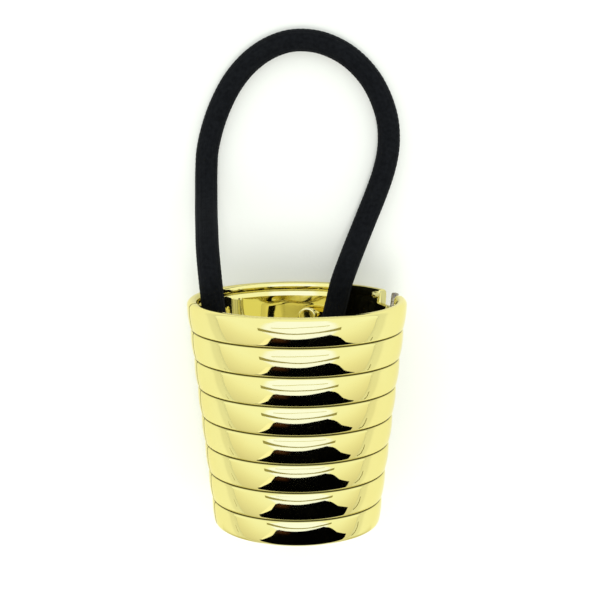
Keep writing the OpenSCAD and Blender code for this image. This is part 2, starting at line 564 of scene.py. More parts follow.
@dataclass(frozen=True)
class Shell:
    """Part of the ribbed wall between two turns round the axis, with softly rounded cut ends."""

    shape: CuffShape
    start: float
    stop: float
    end_rounding: float = 0.00028
    column_step: float = 0.8
    unevenness: float = 0.000009
    bore_unevenness: float = 0.00003
    crevice_reach: float = 0.00013
    crevice_shade: float = 1.5
    end_shade: tuple[float, float] = (0.5, 0.5)

    def _columns(self) -> list[tuple[float, float, float]]:
        """Lines up the columns of points round the axis, closer together at the rounded ends.

        Returns:
            Each column's turn in degrees, its distance on from that turn and the inset of its section.
        """
        steps, r = 6, self.end_rounding
        angles = np.radians(np.linspace(0, 90, steps + 1))
        ends = [(r * (1 - math.cos(a)), r * (1 - math.sin(a))) for a in angles]
        margin = math.degrees(2 * r / self.shape.bore(0))
        count = max(2, round((self.stop - self.start - 2 * margin) / self.column_step))
        middle = np.linspace(self.start + margin, self.stop - margin, count + 1)
        columns = [(self.start, advance, inset) for advance, inset in ends]
        columns += [(float(turn), 0.0, 0.0) for turn in middle]
        columns += [(self.stop, -advance, inset) for advance, inset in reversed(ends)]
        return columns

    def _ripple(self, turn: np.ndarray, height: np.ndarray, inside: np.ndarray) -> np.ndarray:
        """Unevenness that polishing leaves, which is stronger on the inner wall.

        Args:
            turn: Turns in radians, one for each point of the section.
            height: Heights of the points.
            inside: Whether each point lies on the inner wall.

        Returns:
            How far each point is moved outwards.
        """
        # Each wave: how often it goes up and down round the axis, radians a metre along it, and its shift.
        waves = ((7, 410, 0.4), (11, -930, 1.9), (5, 1240, 4.1), (19, 520, 2.6), (3, -1810, 5.3))
        total = sum(np.sin(rounds * turn + along * height + shift) for rounds, along, shift in waves)
        return np.where(inside, self.bore_unevenness, self.unevenness) * total / len(waves)

    def _crevices(self, section: np.ndarray) -> np.ndarray:
        """Finds the painted shade that darkens the grooves between the ribs.

        Args:
            section: Points of the section, as radius and height.

        Returns:
            How much painted shade each point takes, from 0 to 1.
        """
        radius, height = section[:, 0], section[:, 1]
        pitch = self.shape.length / self.shape.rib_count
        from_groove = np.abs((height / pitch + 0.5) % 1 - 0.5) * pitch
        outside = radius > self.shape.groove(0) + height * math.tan(self.shape.lean) - self.crevice_reach
        # Painted shade: points near the bottom of a groove are darkened, fading out over crevice_reach.
        deep = np.clip(self.crevice_shade * (1 - from_groove / self.crevice_reach), 0, 1)
        margin = self.shape.mouth_rounding
        between_rims = (height > margin) & (height < self.shape.length - margin)
        return deep * outside * between_rims

    def form(self) -> Form:
        """Builds the wall, standing on the cuff's own axis.

        Returns:
            The closed wall, with shade painted into its grooves and onto its cut ends. The groove behind the mouth's
            lip runs out at the cut ends.
        """
        section = np.array(self.shape.section(0))
        grooved = np.array(self.shape.section(self.shape.lip_depth))
        along = np.roll(section, -1, axis=0) - np.roll(section, 1, axis=0)
        outward = np.stack([along[:, 1], -along[:, 0]], axis=1)
        outward /= np.linalg.norm(outward, axis=1)[:, None]
        middle = self.shape.length / 2
        clear_of_rims = middle - 3 * self.shape.lip_rounding
        inside = (outward[:, 0] < 0) & (np.abs(section[:, 1] - middle) < clear_of_rims)
        crevices = self._crevices(section)
        rows, tarnish = [], []
        for turn, advance, inset in self._columns():
            flat = section - inset * outward if inset > 0 else grooved
            angle = math.radians(turn) + advance / flat[:, 0]
            radius = flat[:, 0] + self._ripple(angle, flat[:, 1], inside) * (inset == 0)
            rows.append(np.stack([radius * np.cos(angle), radius * np.sin(angle), flat[:, 1]], axis=1))
            # Painted shade: the rounded cut ends are darkened, more deeply the further the section is inset.
            end = self.end_shade[0 if turn == self.start else 1]
            tarnish.append(np.maximum(crevices, min(1, end * inset / self.end_rounding)))
        faces = grid_faces(len(rows), len(section), close_columns=True)
        faces.append(tuple(range(len(section))))
        faces.append(tuple(range((len(rows) - 1) * len(section), len(rows) * len(section))))
        return Form(np.concatenate(rows), faces, np.concatenate(tarnish))


@dataclass(frozen=True)
class CurvedPlate:
    """A plate that follows the inner wall, made of cells between lines round and along it."""

    shape: CuffShape
    turns: Sequence[float]
    heights: Sequence[float]
    inner: float
    outer: float
    gaps: frozenset[tuple[int, int]] = frozenset()
    turn_step: float = 1.5

    def form(self) -> Form:
        """Builds the plate, standing on the cuff's own axis.

        Returns:
            A closed form, open only where a cell is named in gaps as (place in turns, place in heights).
        """
        fine, owner = [self.turns[0]], []
        for i, (low, high) in enumerate(zip(self.turns, self.turns[1:])):
            steps = max(1, round((high - low) / self.turn_step))
            fine += list(np.linspace(low, high, steps + 1)[1:])
            owner += [i] * steps
        rows, levels = len(fine), len(self.heights)
        points = []
        for offset in (self.inner, self.outer):
            for turn in np.radians(fine):
                for z in self.heights:
                    r = self.shape.bore(z) - offset
                    points.append((r * math.cos(turn), r * math.sin(turn), z))
        places = [(i, j) for i in range(rows - 1) for j in range(levels - 1)]
        cells = {(i, j) for i, j in places if (owner[i], j) not in self.gaps}
        faces = []
        layer = rows * levels
        for i, j in sorted(cells):
            low, high = i * levels + j, (i + 1) * levels + j
            loop = (low, high, high + 1, low + 1)
            faces.append(loop)
            faces.append(tuple(layer + v for v in reversed(loop)))
            beside = ((i, j - 1), (i + 1, j), (i, j + 1), (i - 1, j))
            for near, first, second in zip(beside, loop, loop[1:] + loop[:1]):
                if near not in cells:
                    faces.append((second, first, layer + first, layer + second))
        used = sorted({v for face in faces for v in face})
        place = {v: n for n, v in enumerate(used)}
        return Form(np.array(points)[used], [tuple(place[v] for v in face) for face in faces])


class NodeSet:
    """A material's nodes, with short ways to add and link them."""

    def __init__(self, name: str) -> None:
        """Starts a material that holds only its shader and output.

        Args:
            name: Name of the material.
        """
        self.material = bpy.data.materials.new(name)
        self.material.use_nodes = True
        self.tree = self.material.node_tree
        self.shader = self.tree.nodes["Principled BSDF"]

    def add(self, kind: str, **settings: object) -> bpy.types.Node:
        """Adds a node and gives it its settings.

        Args:
            kind: The node's type.
            settings: Properties of the node, or values of its inputs with _ for a space.

        Returns:
            The new node.
        """
        node = self.tree.nodes.new(kind)
        for key, value in settings.items():
            if hasattr(node, key):
                setattr(node, key, value)
            else:
                node.inputs[key.replace("_", " ")].default_value = value
        return node

    def link(self, source: Socket, target: Socket) -> None:
        """Links two sockets."""
        self.tree.links.new(source, target)

    def surface(self, **values: object) -> None:
        """Sets inputs of the shader, with _ for a space."""
        for key, value in values.items():
            self.shader.inputs[key.replace("_", " ")].default_value = value

    def noise(self, size: float, detail: float = 2, stretch: Point = (1, 1, 1)) -> Socket:
        """Adds a noise pattern, which stays put on a piece that moves.

        Args:
            size: Size of its patches in metres.
            detail: How many finer patterns are added to it.
            stretch: Scale along each axis.

        Returns:
            The socket with its value.
        """
        place = self.add("ShaderNodeTexCoord")
        mapping = self.add("ShaderNodeMapping", Scale=stretch)
        texture = self.add("ShaderNodeTexNoise", Scale=1 / size, Detail=detail)
        self.link(place.outputs["Object"], mapping.inputs["Vector"])
        self.link(mapping.outputs["Vector"], texture.inputs["Vector"])
        return texture.outputs["Fac"]

    def blend(self, mask: Socket, low: Colour | Socket, high: Colour) -> Socket:
        """Blends two colours by a mask.

        Args:
            mask: Share of the second colour, from 0 to 1.
            low: The first colour, or a socket that gives it.
            high: The second colour.

        Returns:
            The socket with the blend.
        """
        mix = self.add("ShaderNodeMix", data_type="RGBA")
        # The node has these sockets once for each kind of data, and the numbers pick the colours' own.
        first, second, result = mix.inputs[6], mix.inputs[7], mix.outputs[2]
        if isinstance(low, Socket):
            self.link(low, first)
        else:
            first.default_value = low
        second.default_value = high
        self.link(mask, mix.inputs["Factor"])
        return result

    def spread(self, pattern: Socket, low: float, high: float) -> Socket:
        """Spreads the usual values of a noise pattern over a whole range.

        Args:
            pattern: The noise pattern, or one that was spread before.
            low: Lowest value of the range.
            high: Highest value of the range.

        Returns:
            The socket with the spread pattern.
        """
        seldom_below, seldom_above = 0.32, 0.68
        reach = self.add("ShaderNodeMapRange")
        ends = {"From Min": seldom_below, "From Max": seldom_above, "To Min": low, "To Max": high}
        for key, value in ends.items():
            reach.inputs[key].default_value = value
        self.link(pattern, reach.inputs["Value"])
        return reach.outputs["Result"]

    def relief(self, pattern: Socket, depth: float, below: Socket | None = None) -> Socket:
        """Adds a bump.

        Args:
            pattern: The height pattern.
            depth: How deep it is, in metres.
            below: Another bump that it lies on.

        Returns:
            The socket with the bent normal.
        """
        bump = self.add("ShaderNodeBump", Distance=depth)
        self.link(pattern, bump.inputs["Height"])
        if below is not None:
            self.link(below, bump.inputs["Normal"])
        return bump.outputs["Normal"]


@dataclass(frozen=True)
class GoldFinish:
    """Polished pale gold plating, a little uneven in colour and polish, and olive where shade is painted into it."""

    name: str = "pale_gold_plate"
    pale: Colour = (0.775, 0.705, 0.29, 1)
    warm: Colour = (0.77, 0.68, 0.265, 1)
    olive: Colour = (0.07, 0.058, 0.015, 1)
    edge_tint: Colour = (1.0, 0.96, 0.72, 1)
    patch_size: float = 0.011
    smear_size: float = 0.004
    roughness: tuple[float, float] = (0.02, 0.05)
    peel_size: float = 0.0021
    peel_depth: float = 0.0000016
    hairline_size: float = 0.00016
    hairline_stretch: Point = (1, 0.08, 1)
    hairline_depth: float = 0.00000012

    def build(self) -> bpy.types.Material:
        """Makes the material.

        Returns:
            The new material.
        """
        nodes = NodeSet(self.name)
        nodes.surface(Metallic=1.0, Specular_Tint=self.edge_tint)
        patches = nodes.spread(nodes.noise(self.patch_size), 0, 1)
        clean = nodes.blend(patches, self.pale, self.warm)
        # Painted shade: the mesh's per-point value darkens the gold to olive in the grooves, on the cut ends and in
        # the bead's ring.
        tarnish = nodes.add("ShaderNodeAttribute", attribute_name=SHADE_AND_FADE)
        colour = nodes.blend(tarnish.outputs["Fac"], clean, self.olive)
        nodes.link(colour, nodes.shader.inputs["Base Color"])
        smears = nodes.spread(nodes.noise(self.smear_size, detail=4), *self.roughness)
        nodes.link(smears, nodes.shader.inputs["Roughness"])
        peel = nodes.relief(nodes.noise(self.peel_size, detail=1), self.peel_depth)
        hairline = nodes.noise(self.hairline_size, stretch=self.hairline_stretch)
        nodes.link(nodes.relief(hairline, self.hairline_depth, peel), nodes.shader.inputs["Normal"])
        return nodes.material


@dataclass(frozen=True)
class SteelFinish:
    """Drawn steel wire, a little dull, with fine turning marks on its ends."""

    name: str = "pin_steel"
    bright: Colour = (0.47, 0.42, 0.33, 1)
    dull: Colour = (0.2, 0.17, 0.12, 1)
    patch_size: float = 0.0006
    roughness: tuple[float, float] = (0.22, 0.42)
    mark_size: float = 0.00008
    mark_depth: float = 0.000001

    def build(self) -> bpy.types.Material:
        """Makes the material.

        Returns:
            The new material.
        """
        nodes = NodeSet(self.name)
        nodes.surface(Metallic=1.0)
        patches = nodes.spread(nodes.noise(self.patch_size, detail=3), 0, 1)
        nodes.link(nodes.blend(patches, self.bright, self.dull), nodes.shader.inputs["Base Color"])
        nodes.link(nodes.spread(patches, *self.roughness), nodes.shader.inputs["Roughness"])
        marks = nodes.relief(nodes.noise(self.mark_size), self.mark_depth)
        nodes.link(marks, nodes.shader.inputs["Normal"])
        return nodes.material


@dataclass(frozen=True)
class ElasticFinish:
    """Matt black yarn with a faint bluish sheen and fine fibres."""

    name: str = "black_knit"
    dark: Colour = (0.003, 0.0033, 0.0038, 1)
    light: Colour = (0.0062, 0.0068, 0.0078, 1)
    patch_size: float = 0.0007
    fibre_size: float = 0.00012
    fibre_depth: float = 0.00005

    def build(self) -> bpy.types.Material:
        """Makes the material.

        Returns:
            The new material.
        """
        nodes = NodeSet(self.name)
        nodes.surface(Roughness=0.95, Sheen_Weight=0.03, Sheen_Roughness=0.4, Specular_IOR_Level=0.07)
        yarn = nodes.spread(nodes.noise(self.patch_size, detail=4), 0, 1)
        nodes.link(nodes.blend(yarn, self.dark, self.light), nodes.shader.inputs["Base Color"])
        fibres = nodes.noise(self.fibre_size, detail=3)
        nodes.link(nodes.relief(fibres, self.fibre_depth), nodes.shader.inputs["Normal"])
        return nodes.material


@dataclass(frozen=True)
class FloorFinish:
    """Plain white board with a faint tooth, a faint glow of painted light that lifts its shadows, and a painted pool
    of light: it greys a little away from the middle.
    """

    name: str = "pale_board"
    light: Colour = (0.66, 0.66, 0.62, 1)
    falloff_grey: Colour = (0.56, 0.56, 0.52, 1)
    glow: Colour = (1.0, 0.99, 0.95, 1)
    glow_strength: float = 0.16
    falloff_from: float = 0.09
    falloff_to: float = 0.14
    tooth_size: float = 0.0006
    tooth_depth: float = 0.00002

    def build(self) -> bpy.types.Material:
        """Makes the material.

        Returns:
            The new material.
        """
        nodes = NodeSet(self.name)
        nodes.surface(Roughness=0.8, Specular_IOR_Level=0.1)
        # The glow is painted light: it lifts the board's shadows with no lamp.
        nodes.surface(Emission_Color=self.glow, Emission_Strength=self.glow_strength)
        place = nodes.add("ShaderNodeTexCoord")
        away = nodes.add("ShaderNodeVectorMath", operation="LENGTH")
        nodes.link(place.outputs["Object"], away.inputs[0])
        # Painted pool of light: the board's colour greys with distance from the middle, as light falls off.
        share = nodes.add("ShaderNodeMapRange", interpolation_type="SMOOTHSTEP")
        share.inputs["From Min"].default_value = self.falloff_from
        share.inputs["From Max"].default_value = self.falloff_to
        nodes.link(away.outputs["Value"], share.inputs["Value"])
        colour = nodes.blend(share.outputs["Result"], self.light, self.falloff_grey)
        nodes.link(colour, nodes.shader.inputs["Base Color"])
        tooth = nodes.relief(nodes.noise(self.tooth_size), self.tooth_depth)
        nodes.link(tooth, nodes.shader.inputs["Normal"])
        return nodes.material


def dress(piece: bpy.types.Object, material: bpy.types.Material, body: Body, slot: Slot, node: str) -> None:
    """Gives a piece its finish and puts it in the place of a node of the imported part.

    Args:
        piece: The piece.
        material: Its finish.
        body: The body that it rides on.
        slot: The record's slot for that finish.
        node: The node that it stands for.
    """
    piece.data.materials.clear()
    piece.data.materials.append(material)
    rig.ride(piece, body.value)
    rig.slot(piece, slot.value)
    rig.replaces(piece, node)
    log.info("%s: %d faces on body %s for node %s", piece.name, len(piece.data.polygons), body.value, node)


@dataclass(frozen=True)
class Hinge:
    """The hinge in the split plane: knuckles on a pin, a leaf on the back half and an arm on the front."""

    shape: CuffShape
    pin_d: float = 0.0012
    pin_fit: float = 0.00005
    pin_proud: float = 0.0001
    pin_rounding: float = 0.0002
    knuckle_d: float = 0.0023
    knuckle_gap: float = 0.0003
    knuckle_rounding: float = 0.00012
    leaf_thickness: float = 0.0007
    leaf_seat: float = 0.003
    leaf_drop: float = 0.0022
    leaf_foot: float = 0.003
    plate_rounding: float = 0.0001
    sides: int = 64

    @property
    def room(self) -> float:
        """Distance from the pin's middle to the other half's end."""
        return self.knuckle_d / 2 + self.knuckle_gap

    @property
    def front_end(self) -> float:
        """Turn at which the front half ends beside the knuckles."""
        return self.shape.split_turn - math.degrees(math.asin(self.room / self.shape.pin_line(0)))

    @property
    def back_end(self) -> float:
        """Turn at which the back half ends, past the open gap."""
        gap = math.degrees(self.shape.window_width / self.shape.pin_line(self.shape.length))
        return self.shape.split_turn + gap

    @property
    def leaf_top(self) -> float:
        """Height of the leaf's upper edge."""
        return self.shape.length - self.leaf_drop

    @property
    def knuckle_length(self) -> float:
        """Length of one of the three knuckles, along the axis."""
        return (self.leaf_top - self.leaf_foot - 2 * self.knuckle_gap) / 3

    def knuckle(self, number: int) -> bpy.types.Object:
        """Makes a knuckle, solid until it is drilled.

        Args:
            number: Its place, counted from 0 at the narrow end.

        Returns:
            The knuckle.
        """
        cosine = math.cos(self.shape.lean)
        low = (self.leaf_foot + number * (self.knuckle_length + self.knuckle_gap)) / cosine
        outline = rounded_bar(self.knuckle_d / 2, 0, self.knuckle_length / cosine, self.knuckle_rounding)
        return make_piece(f"knuckle_{number}", turned(outline, self.sides).placed(self.shape.on_pin(low)))

    def drill(self) -> bpy.types.Object:
        """Makes the solid that is cut away for the pin.

        Returns:
            A bar that runs past both ends of the cuff.
        """
        past, radius = 0.001, self.pin_d / 2 + self.pin_fit
        length = self.shape.length / math.cos(self.shape.lean) + 2 * past
        outline = [(0.0, 0.0), (radius, 0.0), (radius, length), (0.0, length)]
        return make_piece("drill", turned(outline, self.sides).placed(self.shape.on_pin(-past)))

    def leaf(self) -> bpy.types.Object:
        """Makes the leaf that is soldered inside the back half.

        Returns:
            The leaf, cut away round the middle knuckle. It reaches a little into the wall and the outer
            knuckles, so that they fuse.
        """
        bite = self.shape.wall / 3
        clear = math.degrees(math.asin((self.room + self.knuckle_gap) / self.shape.pin_line(0)))
        seat = math.degrees(self.leaf_seat / self.shape.bore(self.shape.length))
        split = self.shape.split_turn
        turns = (split, split + clear, self.back_end + seat)
        cut_low = self.leaf_foot + self.knuckle_length
        cut_high = cut_low + self.knuckle_length + 2 * self.knuckle_gap
        heights = (self.leaf_foot, cut_low, cut_high, self.leaf_top)
        cut = frozenset({(0, 1)})
        plate = CurvedPlate(self.shape, turns, heights, self.leaf_thickness, -bite, cut)
        piece = make_piece("leaf", plate.form().placed(self.shape.lying))
        ease_edges(piece, self.plate_rounding)
        return piece

    def bead(self) -> bpy.types.Object:
        """Makes the small round bead on the inner wall, beside the back half's end.

        Returns:
            The bead, with shade painted into the ring groove in its top, and its root in the wall.
        """
        past_end, drop, height, rooted = 1.7, 0.00085, 0.00105, 0.0003
        radius, rounding, steps = 0.00055, 0.0003, 5
        ring_r, ring_w, ring_depth = 0.00022, 0.0001, 0.00012
        outline = [(0.0, -rooted), (radius, -rooted)]
        outline += arc((radius - rounding, height - rounding), rounding, 0, 90, steps)
        ring = [(ring_r, height - ring_depth), (ring_r - ring_w, height), (0.0, height)]
        form = turned(outline + ring, self.sides)
        # Painted shade: the bottom of the ring groove is darkened.
        form.tarnish = np.zeros(len(form.points))
        # The ring's bottom is the last circle but one, and the two points on the axis come after both.
        last = len(form.points) - 2 - self.sides
        form.tarnish[last - self.sides:last] = 1
        high = self.shape.length - drop
        turn = Matrix.Rotation(math.radians(self.back_end + past_end), 4, "Z")
        out = Matrix.Translation((self.shape.bore(high), 0, high))
        inwards = Matrix.Rotation(-math.pi / 2, 4, "Y")
        return make_piece("bead", form.placed(self.shape.lying @ turn @ out @ inwards))

    def arm(self) -> bpy.types.Object:
        """Makes the arm from the front half to its knuckle.

        Returns:
            The arm, as long as the middle knuckle.
        """
        cosine = math.cos(self.shape.lean)
        low = (self.leaf_foot + self.knuckle_length + self.knuckle_gap) / cosine
        reach = self.room * self.shape.pin_line(self.shape.length) / self.shape.pin_line(0) + self.shape.wall
        half, height = self.shape.wall / 2, self.knuckle_length / cosine
        points = [(x, y, z) for z in (0, height) for y in (-reach, 0) for x in (-half, half)]
        faces = [(0, 1, 3, 2), (4, 6, 7, 5), (0, 4, 5, 1), (2, 3, 7, 6), (0, 2, 6, 4), (1, 5, 7, 3)]
        piece = make_piece("arm", Form(np.array(points, float), faces).placed(self.shape.on_pin(low)))
        ease_edges(piece, self.plate_rounding)
        return piece

    def pin(self) -> bpy.types.Object:
        """Makes the steel pin.

        Returns:
            The pin, with rounded ends and a slight dish in the one at the mouth.
        """
        cosine = math.cos(self.shape.lean)
        low = self.leaf_foot / cosine - self.knuckle_gap
        high = self.shape.length / cosine + self.pin_proud
        edge_r, edge_depth, floor_r, floor_depth = 0.00022, 0.00001, 0.000132, 0.00005
        outline = rounded_bar(self.pin_d / 2, low, high, self.pin_rounding)[:-1]
        outline += [(edge_r, high - edge_depth), (floor_r, high - floor_depth), (0.0, high - floor_depth)]
        return make_piece("cuff_hinge_pin", turned(outline, self.sides).placed(self.shape.on_pin()))


@dataclass(frozen=True)
class Catch:
    """The hidden tongue that bridges the seam across from the hinge."""

    shape: CuffShape
    length: float = 0.011
    width: float = 0.006
    thickness: float = 0.0008
    foot: float = 0.011
    seat_gap: float = 0.0001
    rounding: float = 0.00018

    def tongue(self) -> bpy.types.Object:
        """Makes the tongue.

        Returns:
            The tongue, with eased edges, just inside the wall.
        """
        seam = 180 + self.shape.split_turn
        half = math.degrees(self.width / 2 / self.shape.bore(self.foot))
        heights = (self.foot, self.foot + self.length)
        inner = self.seat_gap + self.thickness
        plate = CurvedPlate(self.shape, (seam - half, seam + half), heights, inner, self.seat_gap)
        piece = make_piece("cuff_snap_tongue", plate.form().placed(self.shape.lying))
        ease_edges(piece, self.rounding)
        return piece


@dataclass(frozen=True)
class ElasticHolder:
    """The round-headed post on the back half's inner wall and the sleeve that grips the elastic."""

    shape: CuffShape
    cord_d: float
    post_d: float = 0.0018
    head_d: float = 0.0031
    head_thickness: float = 0.0008
    post_height: float = 0.0046
    post_drop: float = 0.0057
    post_turn: float = 8.5
    sleeve_length: float = 0.005
    sleeve_thickness: float = 0.0006
    sleeve_drop: float = 0.0128
    sleeve_turn: float = 24
    seat_gap: float = 0.0001
    table_side: float = 90
    sides: int = 72

    def post(self) -> bpy.types.Object:
        """Makes the post, pointing in from the inner wall.

        Returns:
            The post: a plain shank on a wider foot, and a round head with a ring groove near its edge.
        """
        foot_step, foot_edge, foot_top = 0.00025, 0.00015, 0.0004
        ring_r, ring_w, ring_depth = 0.00098, 0.00014, 0.00012
        rounding, steps = 0.00022, 5
        shank_r, head_r = self.post_d / 2, self.head_d / 2
        foot_r = shank_r + foot_step
        top, under = self.post_height, self.post_height - self.head_thickness
        outline = [(0.0, 0.0), (foot_r, 0.0), (foot_r, foot_edge), (shank_r, foot_top), (shank_r, under)]
        outline += arc((head_r - rounding / 2, under + rounding / 2), rounding / 2, -90, 0, steps)
        outline += arc((head_r - rounding, top - rounding), rounding, 0, 90, steps)
        outline += [(ring_r + ring_w, top), (ring_r + ring_w / 2, top - ring_depth)]
        outline += [(ring_r - ring_w / 2, top - ring_depth), (ring_r - ring_w, top)]
        outline += [(ring_r / 2, top), (0.0, top)]
        height = self.shape.length - self.post_drop
        turn = Matrix.Rotation(math.radians(self.table_side - self.post_turn), 4, "Z")
        out = Matrix.Translation((self.shape.bore(height), 0, height))
        tilt = Matrix.Rotation(self.shape.lean, 4, "Y")
        off_wall = Matrix.Translation((-self.seat_gap, 0, 0))
        inwards = Matrix.Rotation(-math.pi / 2, 4, "Y")
        place = self.shape.lying @ turn @ out @ tilt @ off_wall @ inwards
        return make_piece("cuff_elastic_post", turned(outline, self.sides).placed(place))

    def _sleeve_outline(self) -> Outline:
        """Draws the sleeve's wall along its length.

        Returns:
            A closed outline for turned(), with two crimped rings.
        """
        inner, rounding, steps, rows = self.cord_d / 2, 0.0002, 5, 45
        outer, half = inner + self.sleeve_thickness, self.sleeve_length / 2
        crimp_depth, crimp_width, crimps = 0.0003, 0.0007, (-0.0012, 0.0012)
        outline = arc((outer - rounding, -half + rounding), rounding, -90, 0, steps)
        for s in np.linspace(-half + rounding, half - rounding, rows)[1:-1]:
            dent = sum(math.exp(-(((s - c) / (crimp_width / 2)) ** 2)) for c in crimps)
            outline.append((outer - crimp_depth * dent, float(s)))
        outline += arc((outer - rounding, half - rounding), rounding, 0, 90, steps)
        return [*outline, (inner, half), (inner, 0.0), (inner, -half)]

    def sleeve(self) -> bpy.types.Object:
        """Makes the crimped sleeve.

        Returns:
            The sleeve, bent along the inner wall.
        """
        height = self.shape.length - self.sleeve_drop
        seat = self.cord_d / 2 + self.sleeve_thickness + self.seat_gap
        radius = self.shape.bore(height) - seat / math.cos(self.shape.lean)
        middle = math.radians(self.table_side + self.sleeve_turn)

        def bend(points: np.ndarray) -> np.ndarray:
            """Bends a straight tube round the cuff's axis.

            Args:
                points: Points of the tube, which stands on the height axis.

            Returns:
                The same points on the bent tube.
            """
            turn = middle + points[:, 2] / radius
            out = radius + points[:, 0]
            return np.stack([out * np.cos(turn), out * np.sin(turn), height + points[:, 1]], axis=1)

        form = turned(self._sleeve_outline(), self.sides).bent(bend).placed(self.shape.lying)
        return make_piece("cuff_elastic_sleeve", form)


@dataclass(frozen=True)
class Elastic:
    """The loop of round knitted elastic, from the sleeve out of the mouth and back.

    It is knitted in wales, which are rows of stitches along the cord. The relief is highest along the
    middle of a wale, and a stitch slants down from there to both sides and dips before the next one.
    """

    diameter: float = 0.004
    wales: int = 16
    wale_sides: int = 6
    stitch: float = 0.0008
    stitch_rings: int = 5
    relief: float = 0.00009
    slant: float = 0.45
    dip: float = 0.55
    route: tuple[Point, ...] = (
        (-0.0056, 0.0075, 0.0054), (-0.0083, 0.0075, 0.0074), (-0.0106, 0.0083, 0.0094),
        (-0.0123, 0.0102, 0.0119), (-0.0133, 0.0131, 0.0144), (-0.0139, 0.0166, 0.016),
        (-0.0143, 0.0204, 0.0166), (-0.0147, 0.024, 0.016), (-0.0151, 0.0273, 0.014),
        (-0.0154, 0.0302, 0.0109), (-0.0157, 0.033, 0.0074), (-0.0159, 0.0362, 0.0043),
        (-0.016, 0.04, 0.0025), (-0.0158, 0.044, 0.0021), (-0.0149, 0.048, 0.0021),
        (-0.0135, 0.0519, 0.0021), (-0.0114, 0.0559, 0.0021), (-0.0086, 0.0593, 0.0021),
        (-0.0052, 0.0618, 0.0021), (-0.0013, 0.0632, 0.0021), (0.0028, 0.0632, 0.0021),
        (0.0066, 0.062, 0.0021), (0.01, 0.0598, 0.0021), (0.0129, 0.0566, 0.0021),
        (0.0149, 0.0528, 0.0021), (0.016, 0.0488, 0.0021), (0.0161, 0.0446, 0.0021),
        (0.0153, 0.0405, 0.0021), (0.0139, 0.0364, 0.0021), (0.0123, 0.0324, 0.0022),
        (0.0107, 0.0285, 0.003), (0.0091, 0.0246, 0.0047), (0.0077, 0.0208, 0.0061),
        (0.0068, 0.017, 0.0058), (0.0058, 0.0134, 0.0053), (0.004, 0.0105, 0.0047),
        (0.0013, 0.0086, 0.0042), (-0.0018, 0.0076, 0.0043), (-0.0046, 0.0074, 0.005),
    )

    def middle_line(self) -> np.ndarray:
        """Draws a smooth curve through the route.

        Returns:
            Evenly spaced points along it, one for each ring of the cord.
        """
        knots = np.array(self.route)
        ends = np.vstack([2 * knots[0] - knots[1], knots, 2 * knots[-1] - knots[-2]])
        samples, fine = 40, []
        for a, b, c, d in zip(ends, ends[1:], ends[2:], ends[3:]):
            for t in np.linspace(0, 1, samples, endpoint=False):
                twice = 2 * b + (c - a) * t + (2 * a - 5 * b + 4 * c - d) * t**2
                twice = twice + (3 * b - a - 3 * c + d) * t**3
                fine.append(twice / 2)
        fine = np.array([*fine, knots[-1]])
        gone = np.concatenate([[0], np.cumsum(np.linalg.norm(np.diff(fine, axis=0), axis=1))])
        count = round(gone[-1] / self.stitch) * self.stitch_rings
        wanted = np.linspace(0, gone[-1], count + 1)
        return np.stack([np.interp(wanted, gone, fine[:, k]) for k in range(3)], axis=1)

    def _stitches(self, around: np.ndarray, ring: int) -> np.ndarray:
        """Finds the height of the knitted relief on one ring.

        Args:
            around: Places round the cord, from 0 to 1.
            ring: Number of the ring.

        Returns:
            The height at each place, from 0 to 1, with a dip between one stitch and the next.
        """
        across = np.abs((around * self.wales) % 1 - 0.5) * 2
        along = ring / self.stitch_rings + self.slant * across
        loops = np.abs(np.cos(math.pi * along))
        return (1 - across**2) * (1 - self.dip * (1 - loops))

    def build(self) -> tuple[bpy.types.Object, np.ndarray]:
        """Makes the cord.

        Returns:
            The piece, and the points of its middle line.
        """
        line = self.middle_line()
        ahead = np.gradient(line, axis=0)
        ahead /= np.linalg.norm(ahead, axis=1)[:, None]
        sides = self.wales * self.wale_sides
        around = np.arange(sides) / sides
        cosine, sine = np.cos(2 * math.pi * around)[:, None], np.sin(2 * math.pi * around)[:, None]
        side = np.cross(ahead[0], (0, 0, 1))
        rings = []
        for i, (centre, along) in enumerate(zip(line, ahead)):
            side = side - along * side.dot(along)
            side /= np.linalg.norm(side)
            top = np.cross(along, side)
            radius = self.diameter / 2 - self.relief * (1 - self._stitches(around, i))
            rings.append(centre + radius[:, None] * (cosine * side + sine * top))
        faces = grid_faces(len(rings), sides, close_columns=True)
        faces.append(tuple(range(sides)))
        faces.append(tuple(range((len(rings) - 1) * sides, len(rings) * sides)))
        return make_piece("cuff_elastic_cord", Form(np.concatenate(rings), faces)), line


class Stand(Enum):
    """How a card stands: level at a height, or upright on the narrow end's side."""

    LEVEL = "level"
    UPRIGHT = "upright"


